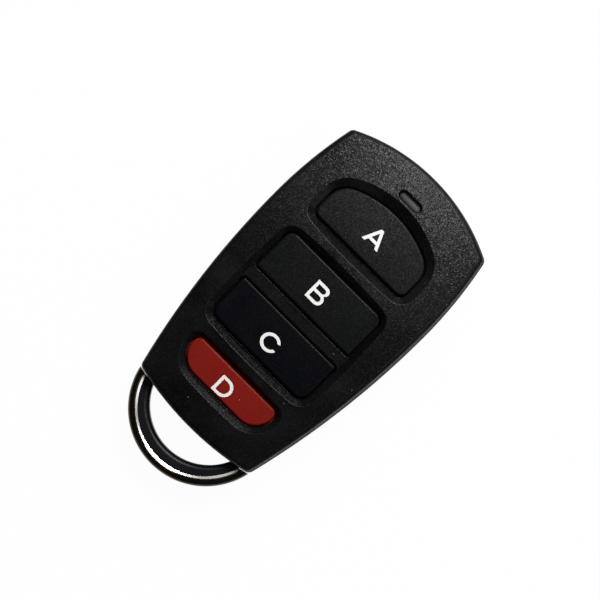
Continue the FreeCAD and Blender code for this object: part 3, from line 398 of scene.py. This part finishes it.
def moulded_plastic(slot, base, grain, depth, rubbed, dust):
    """Black ABS with spark-eroded grain, polished a little where it is held."""
    painted_pit_shade, painted_glint_shade, edge_wear_and_highlight_shade, edge_wear_and_highlight_share = 0.4, 4.0, 2.6, 0.5
    facet_polish, rubbed_polish = -0.08, -0.12
    haze_share, speck_share = dust * 0.012, dust * 0.35
    made, tree, shader = start_material(slot)
    edges = group_node(tree, "Rubbed edges", {"Width": rubbed})
    craters = group_node(tree, "Spark grain", {
        "Size": grain, "Depth": depth, "Tilt": CASE_TILT, "Normal": edges["Normal"]})
    slow = group_node(tree, "Slow tone", {"Size": 7.0 * MM})
    settled = group_node(tree, "Settled dust", {"Speck": 1.1 * MM})
    body = shades(tree, slow["Tone"], base, 0.8, 1.2)
    # Crater floors are painted darker as painted shade.
    body = mix_colours(tree, craters["Height"], lighter(base, painted_pit_shade), body)
    # Some facets are painted lighter as painted glints.
    body = mix_colours(tree, craters["Facet"], body, lighter(base, painted_glint_shade))
    # The edges are painted lighter, for wear and as a painted highlight.
    edge_wear_and_highlight_part = times(tree, edges["Mask"], edge_wear_and_highlight_share)
    body = mix_colours(tree, edge_wear_and_highlight_part, body, lighter(base, edge_wear_and_highlight_shade))
    body = mix_colours(tree, times(tree, settled["Haze"], haze_share), body, HAZE_COLOUR)
    body = mix_colours(tree, times(tree, settled["Specks"], speck_share), body, SPECK_COLOUR)
    broad = between(tree, slow["Polish"], CASE_ROUGHNESS - 0.03, CASE_ROUGHNESS + 0.04)
    rough = math_node(tree, "ADD", broad, times(tree, craters["Facet"], facet_polish))
    rough = math_node(tree, "ADD", rough, times(tree, edges["Mask"], rubbed_polish))
    facing = node(tree, "ShaderNodeLayerWeight", {"Blend": 0.5}).outputs["Facing"]
    glancing = spread(tree, facing, 0.75, 0.95, 0.0, GLANCING_ROUGHNESS)
    feed(tree, shader, {
        "Base Color": body,
        "Roughness": math_node(tree, "ADD", rough, glancing, True),
        "Normal": craters["Normal"],
        "Specular IOR Level": CASE_GLOSS})
    return made


def matte_button(slot, base, grain, depth, rubbed, rim_wear_and_highlight):
    """Fine matte plastic whose edges are painted slightly lighter, for wear and as a painted
    highlight.
    """
    painted_pit_shade, painted_glint_shade = 0.88, 1 + PAINTED_GLINT_LIGHT / max(base[:3])
    speck_share, rubbed_polish = 0.25, -0.1
    made, tree, shader = start_material(slot)
    edges = group_node(tree, "Rubbed edges", {"Width": rubbed})
    fine = group_node(tree, "Spark grain", {
        "Size": grain, "Depth": depth, "Tilt": BUTTON_TILT, "Normal": edges["Normal"]})
    slow = group_node(tree, "Slow tone", {"Size": 4.0 * MM})
    settled = group_node(tree, "Settled dust", {"Speck": 1.6 * MM})
    body = shades(tree, slow["Tone"], base, 0.9, 1.12)
    # Crater floors are painted darker as painted shade.
    body = mix_colours(tree, fine["Height"], lighter(base, painted_pit_shade), body)
    # Some facets are painted lighter as painted glints.
    body = mix_colours(tree, fine["Facet"], body, lighter(base, painted_glint_shade))
    # The edges are painted lighter, for wear and as a painted highlight.
    body = mix_colours(tree, edges["Mask"], body, lighter(base, rim_wear_and_highlight))
    body = mix_colours(tree, times(tree, settled["Specks"], speck_share), body, BUTTON_DUST)
    broad = between(tree, slow["Polish"], BUTTON_ROUGHNESS - 0.03, BUTTON_ROUGHNESS + 0.05)
    wear_and_painted_highlight = times(tree, edges["Mask"], rubbed_polish)
    feed(tree, shader, {
        "Base Color": body,
        "Roughness": math_node(tree, "ADD", broad, wear_and_painted_highlight, True),
        "Normal": fine["Normal"],
        "Specular IOR Level": BUTTON_GLOSS})
    return made


def printed_paint(slot, base):
    """Pad-printed paint with a faintly uneven film."""
    made, tree, shader = start_material(slot)
    film = group_node(tree, "Spark grain", {"Size": 0.18 * MM})
    slow = group_node(tree, "Slow tone", {"Size": 1.5 * MM})
    feed(tree, shader, {
        "Base Color": shades(tree, slow["Tone"], base, 0.96, 1.0),
        "Roughness": between(tree, film["Mottle"], 0.42, 0.55),
        "Normal": bump(tree, film["Height"], 0.004 * MM)})
    return made


def smooth_lens(slot, base):
    """A smooth light pipe, slightly cloudy in depth."""
    made, tree, shader = start_material(slot)
    slow = group_node(tree, "Slow tone", {"Size": 1.8 * MM})
    settled = group_node(tree, "Settled dust", {"Speck": 0.7 * MM})
    body = shades(tree, slow["Tone"], base, 0.75, 1.25)
    body = mix_colours(tree, times(tree, settled["Haze"], 0.06), body, LENS_DUST)
    feed(tree, shader, {
        "Base Color": body,
        "Roughness": between(tree, slow["Polish"], 0.38, 0.5),
        "Normal": bump(tree, slow["Tone"], 0.02 * MM),
        "Specular IOR Level": SMOOTH_GLOSS})
    return made


def plated_bow(slot, dark, painted_highlight, bevel_width):
    """Plating painted dark as a painted reflection of dark surroundings, with a painted
    highlight on the bevel along the inner edge; upright walls stay dark.
    """
    made, tree, shader = start_material(slot)
    centre, inner = bow_ring()
    flat = vector_math(tree, "SUBTRACT", {0: object_place(tree), 1: tuple(centre)})
    flat = vector_math(tree, "MULTIPLY", {0: flat, 1: (1, 1, 0)})
    reach = vector_math(tree, "LENGTH", {0: flat}, "Value")
    end = inner + bevel_width
    level = math_node(tree, "ABSOLUTE", upward_part(tree))
    # The bevel along the inner edge, but not the upright walls, gets a painted highlight.
    cut = times(
        tree, spread(tree, reach, end, end - PAINTED_HIGHLIGHT_SOFTNESS), spread(tree, level, 0.2, 0.3))
    lines = group_node(tree, "Hairlines", {"Size": 0.11 * MM})
    slow = group_node(tree, "Slow tone", {"Size": 3.0 * MM})
    # The plating's colour is painted dark, as a painted reflection of dark surroundings.
    plating = shades(tree, slow["Tone"], dark, 0.75, 1.25)
    # Colour of the painted highlight on the bevel.
    wear_and_painted_highlight = shades(tree, slow["Polish"], painted_highlight, 0.9, 1.0)
    rough = between(tree, slow["Polish"], 0.1, 0.17)
    rough = math_node(tree, "ADD", rough, times(tree, lines["Mask"], 0.05))
    feed(tree, shader, {
        "Base Color": mix_colours(tree, cut, plating, wear_and_painted_highlight),
        "Metallic": 1.0,
        "Roughness": math_node(tree, "ADD", rough, times(tree, cut, 0.1), True),
        "Normal": bump(tree, lines["Height"], 0.002 * MM)})
    return made


def satin_core(slot, base):
    """Blue-black satin plastic with a soft mould texture, and a painted highlight along its
    edges.
    """
    made, tree, shader = start_material(slot)
    fine = group_node(tree, "Spark grain", {"Size": 0.14 * MM})
    slow = group_node(tree, "Slow tone", {"Size": 4.0 * MM})
    edges = group_node(tree, "Rubbed edges", {"Width": 0.25 * MM})
    body = shades(tree, slow["Tone"], base, 0.8, 1.2)
    feed(tree, shader, {
        # The edges are painted lighter as a painted highlight.
        "Base Color": mix_colours(tree, edges["Mask"], body, lighter(base, 2.2)),
        "Roughness": between(tree, slow["Polish"], 0.3, 0.4),
        "Normal": bump(tree, fine["Height"], 0.006 * MM),
        "Specular IOR Level": SMOOTH_GLOSS})
    return made


def small_metal(slot, base, roughness, line_depth=0.0015 * MM):
    """Nickel, tin or zinc on a small part."""
    made, tree, shader = start_material(slot)
    lines = group_node(tree, "Hairlines", {"Size": 0.16 * MM})
    slow = group_node(tree, "Slow tone", {"Size": 2.5 * MM})
    body = shades(tree, slow["Tone"], base, 0.82, 1.08)
    wear_and_painted_highlight = times(tree, lines["Mask"], 0.3)
    feed(tree, shader, {
        "Base Color": mix_colours(tree, wear_and_painted_highlight, body, lighter(base, 0.7)),
        "Metallic": 1.0,
        "Roughness": between(tree, slow["Polish"], roughness - 0.05, roughness + 0.08),
        "Normal": bump(tree, lines["Height"], line_depth)})
    return made


def small_moulding(slot, base, roughness):
    """Moulded or fired surface of a small part."""
    made, tree, shader = start_material(slot)
    fine = group_node(tree, "Spark grain", {"Size": 0.09 * MM})
    slow = group_node(tree, "Slow tone", {"Size": 1.6 * MM})
    feed(tree, shader, {
        "Base Color": shades(tree, slow["Tone"], base, 0.85, 1.15),
        "Roughness": between(tree, fine["Mottle"], roughness - 0.06, roughness + 0.06),
        "Normal": bump(tree, fine["Height"], 0.005 * MM)})
    return made


def solder_mask(slot, base):
    """Green solder mask over faint copper tracks."""
    made, tree, shader = start_material(slot)
    tracks = node(tree, "ShaderNodeTexBrick", {
        "Vector": place_in(tree, 1.6 * MM), "Scale": 1.0, "Mortar Size": 0.11,
        "Mortar Smooth": 0.3, "Brick Width": 1.7, "Row Height": 0.9}, offset=0.5).outputs["Fac"]
    slow = group_node(tree, "Slow tone", {"Size": 3.0 * MM})
    mask = shades(tree, slow["Tone"], base, 0.85, 1.1)
    feed(tree, shader, {
        "Base Color": mix_colours(tree, tracks, lighter(base, 1.9), mask),
        "Roughness": between(tree, slow["Polish"], 0.24, 0.36),
        "Normal": bump(tree, tracks, 0.03 * MM)})
    return made


def dress_nodes(names, material):
    """Give one material to CAD nodes."""
    for name in names:
        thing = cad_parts[name]
        thing.data.materials.clear()
        thing.data.materials.append(material)


# Printed letters, drawn in a box as high as 1 with the foot line at 0 and the middle line at 0.
# Each letter is its outline and then its holes.

def bend(x, y, across, up, start, end, steps=14):
    """Points on an ellipse from one angle to another, in degrees."""
    turns = [math.radians(start + (end - start) * step / steps) for step in range(steps + 1)]
    return [(x + across * math.cos(turn), y + up * math.sin(turn)) for turn in turns]


def letter_a():
    """Two legs that lean by slope, their cut apex and the bar."""
    slope, foot, apex = 0.45, 0.194, 0.094
    out = 0.548
    bar_low, bar_high = 0.2, 0.36
    heel = out - foot
    outline = [(-out, 0), (-heel, 0), (slope * bar_low - heel, bar_low),
               (heel - slope * bar_low, bar_low), (heel, 0), (out, 0),
               (apex, 0.985), (apex - 0.03, 1.0), (0.03 - apex, 1.0), (-apex, 0.985)]
    counter = [(slope * bar_high - heel, bar_high), (heel - slope * bar_high, bar_high),
               (0, heel / slope)]
    return [outline, counter]


def letter_b():
    """A stem with a large bow below and a smaller one above."""
    left, stem = -0.439, -0.281
    outline = [(left, 0)]
    outline += bend(0.132, 0.29, 0.307, 0.29, -90, 62)
    outline += bend(0.109, 0.763, 0.278, 0.237, -52, 90)
    outline += [(left, 1.0)]
    low = [(stem, 0.152)] + bend(0.113, 0.3, 0.165, 0.148, -90, 90) + [(stem, 0.448)]
    high = [(stem, 0.59)] + bend(0.094, 0.72, 0.138, 0.13, -90, 90) + [(stem, 0.85)]
    return [outline, low, high]


def letter_c():
    """A band between two ellipses, open to the right."""
    outer = bend(0, 0.5, 0.551, 0.5, 30, 340, 40)
    inner = bend(0.01, 0.5, 0.379, 0.337, 334, 37, 32)
    return [outer + inner]


def letter_d():
    """A stem with one bow."""
    left, stem = -0.478, -0.299
    outline = [(left, 0)] + bend(-0.02, 0.5, 0.525, 0.5, -90, 90, 28) + [(left, 1.0)]
    counter = [(stem, 0.155)] + bend(-0.04, 0.5, 0.374, 0.345, -90, 90, 24) + [(stem, 0.845)]
    return [outline, counter]


# Outline, height against the common one, and the middle of the letter in millimetres
LETTER_SHAPES = {
    "A": (letter_a, 0.903, (0.2, 20.45)),
    "B": (letter_b, 0.987, (0.05, 6.55)),
    "C": (letter_c, 0.908, (0.1, -5.32)),
    "D": (letter_d, 0.878, (-0.1, -16.5)),
}
# Points of a letter nearer than this are one, and its long edges are cut this often
WELD_DISTANCE = 0.002 * MM
CUT_PASSES = 3
# Height in metres from which a letter drops onto its button, well above it
DROP_HEIGHT = 1.0


def filled_letter(letter, loops):
    """A flat mesh from the loops of a letter."""
    curve = bpy.data.curves.new(f"letter_{letter.lower()}_outline", "CURVE")
    curve.dimensions = "2D"
    curve.fill_mode = "BOTH"
    for loop in loops:
        spline = curve.splines.new("POLY")
        spline.points.add(len(loop) - 1)
        for point, (x, y) in zip(spline.points, loop):
            point.co = (x, y, 0, 1)
        spline.use_cyclic_u = True
    carrier = bpy.data.objects.new(curve.name, curve)
    bpy.context.scene.collection.objects.link(carrier)
    bpy.context.view_layer.update()
    flat = bpy.data.meshes.new_from_object(carrier.evaluated_get(
        bpy.context.evaluated_depsgraph_get()))
    bpy.data.objects.remove(carrier)
    bpy.data.curves.remove(curve)
    return flat


def lay_on(button, flat, step, thickness):
    """Cut a flat letter into short edges, lay it on a button and give it its thickness."""
    mesh = bmesh.new()
    mesh.from_mesh(flat)
    bmesh.ops.remove_doubles(mesh, verts=mesh.verts, dist=WELD_DISTANCE)
    bmesh.ops.triangulate(mesh, faces=mesh.faces)
    for _ in range(CUT_PASSES):
        long_edges = [edge for edge in mesh.edges if edge.calc_length() > step]
        if not long_edges:
            break
        bmesh.ops.subdivide_edges(mesh, edges=long_edges, cuts=1)
        bmesh.ops.triangulate(mesh, faces=mesh.faces)
    for face in mesh.faces:
        if face.normal.z < 0:
            face.normal_flip()
    for vertex in mesh.verts:
        above = Vector((vertex.co.x, vertex.co.y, DROP_HEIGHT))
        found, place, _, _ = button.ray_cast(above, Vector((0, 0, -1)))
        if not found:
            raise RuntimeError(f"a letter reaches past {button.name}")
        vertex.co.z = place.z - thickness
    grown = bmesh.ops.extrude_face_region(mesh, geom=mesh.faces[:])
    for item in grown["geom"]:
        if isinstance(item, bmesh.types.BMVert):
            item.co.z += 2 * thickness
    bmesh.ops.recalc_face_normals(mesh, faces=mesh.faces)
    mesh.to_mesh(flat)
    mesh.free()
    return flat


# One operator for each piece or group of like pieces, and the tables that they work through

# Shells: slot, node and how much dust lies on it
SHELLS = (
    ("case_plastic", "front_shell", 1.0),
    ("back_plastic", "rear_shell", 0.4),
)
# Buttons: slot, setting with their colour, nodes and how much lighter the edges are painted, for
# wear and as a painted highlight
BUTTONS = (
    ("button_grey", "grey_colour", ("button_a", "button_b"), 1.8),
    ("button_dark", "dark_colour", ("button_c",), 1.9),
    ("button_red", "red_colour", ("button_d",), 1.35),
)
# Parts on the board: finish, slot, colour, roughness and nodes
BOARD_PARTS = (
    (small_metal, "cell_steel", (0.62, 0.61, 0.58), 0.3, ["coin_cell", "resonator"]),
    (small_metal, "contact_nickel", (0.6, 0.57, 0.52), 0.26,
     ["positive_contact", "negative_contact"] + by_letter("switch_cover")),
    (small_metal, "lead_tin", (0.7, 0.7, 0.69), 0.34,
     ["encoder_leads"] + by_letter("switch_leads")),
    (small_metal, "dome_steel", (0.56, 0.56, 0.55), 0.22, by_letter("switch_dome")),
    (small_moulding, "chip_black", (0.016, 0.016, 0.017), 0.55,
     ["encoder_chip", "transistor", "chip_resistors"]),
    (small_moulding, "ceramic_tan", (0.36, 0.24, 0.14), 0.4, ["chip_capacitors"]),
    (small_moulding, "ceramic_dark", (0.09, 0.08, 0.07), 0.6, ["chip_inductors"]),
    (small_moulding, "switch_black", (0.02, 0.02, 0.021), 0.5, by_letter("switch_base")),
    (small_moulding, "white_plastic", (0.72, 0.72, 0.7), 0.42, by_letter("switch_plunger")),
)


class FinishCase(bpy.types.Operator):
    """Give both shells their grained black plastic"""

    bl_idname = "gate_remote.finish_case"
    bl_label = "Finish Case"

    def execute(self, context):
        plastic = context.scene.gate_remote_plastic
        for slot, name, dust in SHELLS:
            dress_nodes([name], moulded_plastic(
                slot, plastic.case_colour, plastic.grain_size, plastic.grain_depth,
                plastic.edge_wear_and_highlight_width, dust))
        return {"FINISHED"}


class FinishButtons(bpy.types.Operator):
    """Give the four buttons their matte plastic"""

    bl_idname = "gate_remote.finish_buttons"
    bl_label = "Finish Buttons"

    def execute(self, context):
        plastic = context.scene.gate_remote_plastic
        for slot, setting, names, rim_wear_and_highlight in BUTTONS:
            dress_nodes(names, matte_button(
                slot, getattr(plastic, setting), plastic.matte_size, plastic.matte_depth,
                plastic.edge_wear_and_highlight_width, rim_wear_and_highlight))
        return {"FINISHED"}


class PrintLetters(bpy.types.Operator):
    """Print the channel letters on the buttons"""

    bl_idname = "gate_remote.print_letters"
    bl_label = "Print Letters"

    def execute(self, context):
        legend = context.scene.gate_remote_legend
        paint = printed_paint("printed_letters", legend.print_colour)
        for letter in LETTERS:
            shape, relative, (across, along) = LETTER_SHAPES[letter]
            tall = legend.height * relative
            foot = along * MM - tall / 2
            loops = [[(x * tall + across * MM, foot + y * tall) for x, y in loop]
                     for loop in shape()]
            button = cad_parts[f"button_{letter.lower()}"]
            flat = filled_letter(letter, loops)
            printed = lay_on(button, flat, legend.step, legend.thickness)
            piece = bpy.data.objects.new(f"letter_{letter.lower()}", printed)
            printed.materials.clear()
            printed.materials.append(paint)
            context.scene.collection.objects.link(piece)
            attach(piece, f"key_{letter.lower()}")
        return {"FINISHED"}


class FinishBail(bpy.types.Operator):
    """Plate the bow, with its painted dark reflection and the painted highlight on its bevel,
    and give the core its satin plastic with a painted highlight on its edges
    """

    bl_idname = "gate_remote.finish_bail"
    bl_label = "Finish Bail"

    def execute(self, context):
        metal = context.scene.gate_remote_metal
        dress_nodes(["bail_bow"], plated_bow(
            "dark_chrome", metal.plating_and_dark_reflection_colour, metal.painted_highlight_colour, metal.bevel_width))
        dress_nodes(["bail_core"], satin_core("bail_satin", metal.satin_colour))
        return {"FINISHED"}


class FinishIndicator(bpy.types.Operator):
    """Give the light pipe and its lamp their materials"""

    bl_idname = "gate_remote.finish_indicator"
    bl_label = "Finish Indicator"

    def execute(self, context):
        plastic = context.scene.gate_remote_plastic
        dress_nodes(["indicator_lens"], smooth_lens("lens_grey", plastic.lens_colour))
        dress_nodes(["indicator_lamp"], small_moulding("lamp_white", (0.8, 0.8, 0.76), 0.4))
        return {"FINISHED"}


class FinishInside(bpy.types.Operator):
    """Give the board, its parts, the switches and the cell their materials"""

    bl_idname = "gate_remote.finish_inside"
    bl_label = "Finish Inside"

    def execute(self, context):
        dress_nodes(["circuit_board"], solder_mask("board_green", (0.02, 0.12, 0.05)))
        for finish, slot, base, roughness, names in BOARD_PARTS:
            dress_nodes(names, finish(slot, base, roughness))
        return {"FINISHED"}


class FinishScrews(bpy.types.Operator):
    """Give the case screws their zinc"""

    bl_idname = "gate_remote.finish_screws"
    bl_label = "Finish Screws"

    def execute(self, context):
        zinc = small_metal("screw_zinc", (0.5, 0.5, 0.48), 0.3, 0.003 * MM)
        dress_nodes([f"case_screw_{name}" for name in ("left", "right", "tail")], zinc)
        return {"FINISHED"}


# The stage

# Lamps: name, place in metres, size across and along, power in watts, tint
LAMPS = (
    ("head_key", (-0.06, 0.46, 0.8), 0.3, 0.24, 6.5, (1.0, 0.99, 0.98)),
    ("head_low", (-0.1, 0.8, 0.48), 0.8, 0.25, 3.0, (1.0, 1.0, 1.0)),
    ("left_softbox", (-0.62, 0.2, 0.74), 0.4, 0.7, 0.5, (1.0, 1.0, 1.0)),
    ("right_softbox", (0.62, 0.2, 0.74), 0.4, 0.7, 1.4, (0.97, 0.98, 1.0)),
)
# Colour and strength of the light from all round
WORLD_TINT = (0.95, 0.97, 1.0, 1.0)
WORLD_LEVEL = 0.08
# How much of the floor glows by itself as the camera, gloss and glass see it
FLOOR_GLOW = 0.97
# Space under the back, so that floor and back don't lie in one plane
FLOOR_GAP = 0.02 * MM
# Corners of the floor, counted in halves of its side
FLOOR_CORNERS = ((-1, -1), (1, -1), (1, 1), (-1, 1))
# Where the camera looks and how far it stands to the right of that, in millimetres
CAMERA_AIM = (-1.63, 3.52)
CAMERA_SIDE = 34.0
# Width of the film in millimetres, and the nearest and furthest that is seen, in metres
SENSOR_WIDTH = 36.0
CLIP_NEAR, CLIP_FAR = 0.01, 20.0


def pale_floor(base):
    """A matte floor that shows nearly white to the eye, to gloss and to glass."""
    made, tree = empty_material("pale_floor")
    path = node(tree, "ShaderNodeLightPath").outputs
    seen = math_node(tree, "ADD", path["Is Camera Ray"], path["Is Glossy Ray"])
    seen = math_node(tree, "ADD", seen, path["Is Transmission Ray"], True)
    matte = node(tree, "ShaderNodeBsdfDiffuse", {"Color": tuple(base) + (1.0,)})
    glow = node(tree, "ShaderNodeEmission", {"Color": WHITE, "Strength": 1.0})
    both = node(tree, "ShaderNodeMixShader", {
        0: times(tree, seen, FLOOR_GLOW), 1: matte.outputs[0], 2: glow.outputs[0]})
    node(tree, "ShaderNodeOutputMaterial", {0: both.outputs[0]})
    return made


class SetStage(bpy.types.Operator):
    """Lay the floor, hang the lamps and set up the camera"""

    bl_idname = "gate_remote.set_stage"
    bl_label = "Set Stage"

    def execute(self, context):
        stage = context.scene.gate_remote_stage
        scene = context.scene
        half = stage.floor_size / 2
        floor_mesh = bpy.data.meshes.new("floor")
        corners = [(half * x, half * y, -FLOOR_GAP) for x, y in FLOOR_CORNERS]
        floor_mesh.from_pydata(corners, [], [(0, 1, 2, 3)])
        floor = bpy.data.objects.new("floor", floor_mesh)
        floor.data.materials.append(pale_floor(stage.floor_colour))
        scene.collection.objects.link(floor)

        for name, place, across, along, power, tint in LAMPS:
            lamp = bpy.data.lights.new(name, "AREA")
            lamp.shape = "RECTANGLE"
            lamp.size = across
            lamp.size_y = along
            lamp.energy = power
            lamp.color = tint
            holder = bpy.data.objects.new(name, lamp)
            holder.location = place
            holder.rotation_euler = (-Vector(place)).to_track_quat("-Z", "Y").to_euler()
            holder.visible_camera = False
            scene.collection.objects.link(holder)

        world = bpy.data.worlds.new("studio")
        world.use_nodes = True
        background = world.node_tree.nodes["Background"].inputs
        background["Color"].default_value = WORLD_TINT
        background["Strength"].default_value = WORLD_LEVEL
        scene.world = world

        eye = bpy.data.cameras.new("camera")
        eye.type = "PERSP"
        eye.sensor_width = SENSOR_WIDTH
        eye.lens = stage.focal_length
        eye.clip_start = CLIP_NEAR
        eye.clip_end = CLIP_FAR
        distance = stage.view_width * eye.lens / eye.sensor_width
        aim = Vector((*CAMERA_AIM, 0)) * MM
        aim.z = middle_of("front_shell").z
        lean = math.atan2(CAMERA_SIDE * MM, distance)
        camera = bpy.data.objects.new("camera", eye)
        camera.location = aim + Vector((CAMERA_SIDE * MM, 0, distance))
        camera.rotation_euler = (Matrix.Rotation(lean, 3, "Y")
                                 @ Matrix.Rotation(stage.turn, 3, "Z")).to_euler()
        scene.collection.objects.link(camera)
        scene.camera = camera
        scene.view_settings.view_transform = "Standard"
        return {"FINISHED"}


# The panel and the run

STEPS = (FinishCase, FinishButtons, PrintLetters, FinishBail, FinishIndicator, FinishInside,
         FinishScrews, SetStage)
SETTINGS = {
    "gate_remote_plastic": PlasticSettings,
    "gate_remote_legend": LegendSettings,
    "gate_remote_metal": MetalSettings,
    "gate_remote_stage": StageSettings,
}


class RemotePanel(bpy.types.Panel):
    """Lists the steps and their settings"""

    bl_idname = "VIEW3D_PT_gate_remote"
    bl_label = "Gate Remote Control"
    bl_space_type = "VIEW_3D"
    bl_region_type = "UI"
    bl_category = "Gate Remote"

    def draw(self, context):
        for step in STEPS:
            self.layout.operator(step.bl_idname)
        for group in SETTINGS:
            box = self.layout.box()
            settings = getattr(context.scene, group)
            for name in settings.__annotations__:
                box.prop(settings, name)


CLASSES = tuple(SETTINGS.values()) + STEPS + (RemotePanel,)
GROUPS = (make_spark_grain, make_edge_wear_and_highlight, make_settled_dust, make_slow_tone, make_hairlines)


def register():
    """Register the classes and hang the settings on the scene."""
    for made in CLASSES:
        bpy.utils.register_class(made)
    for name, settings in SETTINGS.items():
        setattr(bpy.types.Scene, name, PointerProperty(type=settings))


def unregister():
    """Take the settings and the classes away again."""
    for name in SETTINGS:
        delattr(bpy.types.Scene, name)
    for made in reversed(CLASSES):
        bpy.utils.unregister_class(made)


def main():
    register()
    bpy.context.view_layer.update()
    for make_group in GROUPS:
        make_group()
    for step in STEPS:
        area, name = step.bl_idname.split(".")
        getattr(getattr(bpy.ops, area), name)()


if __name__ == "__main__":
    main()
